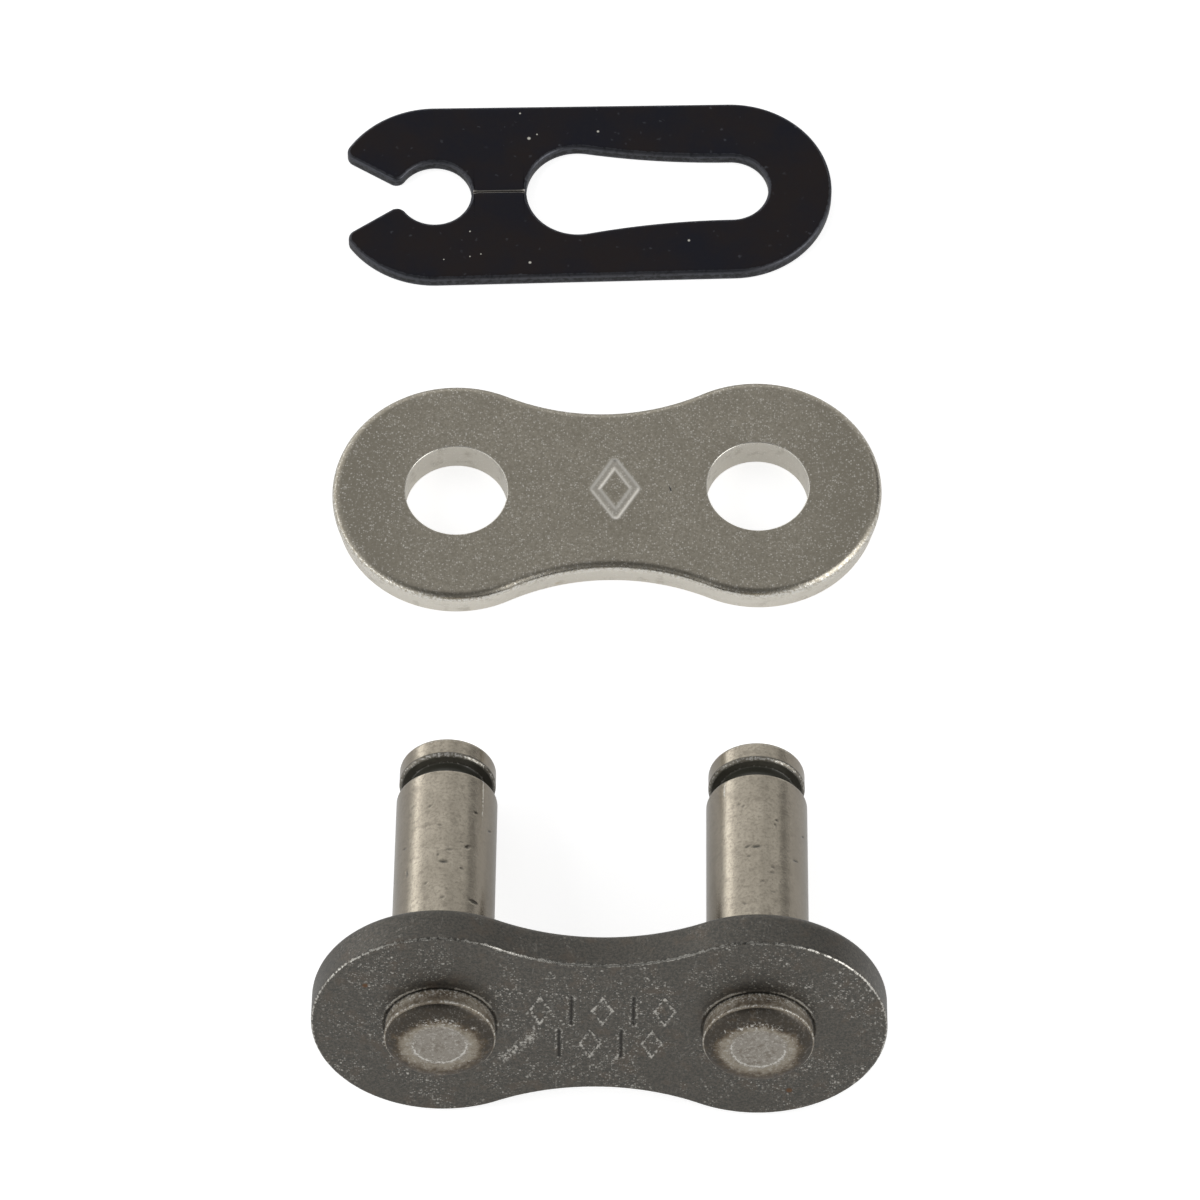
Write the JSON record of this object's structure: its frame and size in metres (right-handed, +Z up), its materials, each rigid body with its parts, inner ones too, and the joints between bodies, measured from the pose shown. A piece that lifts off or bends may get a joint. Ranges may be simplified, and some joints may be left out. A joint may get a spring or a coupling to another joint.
{
  "type": "chain connecting link",
  "caption": "Clip type connecting link of a roller chain, laid out apart: pin link, loose cover plate and spring clip with keyhole slot.",
  "frame": {"origin": "centre of the footprint of the three parts laid out, on the surface that they lie on", "axes": "+X along the chain, +Y from the pin link to the spring clip and the way the pins point, +Z up"},
  "size_m": [0.029, 0.0612, 0.0129],
  "materials": {
    "dark_plate_steel": "tumbled, dark gunmetal",
    "pin_steel": "ground, satin",
    "plated_steel": "satin nickel, polished edges",
    "blued_spring_steel": "black oxide, satin"
  },
  "bodies": {
    "root": {"pin_plate": "dark_plate_steel", "left_pin": "pin_steel", "right_pin": "pin_steel", "cover_plate": "plated_steel", "spring_clip": "blued_spring_steel"}
  },
  "joints": []
}
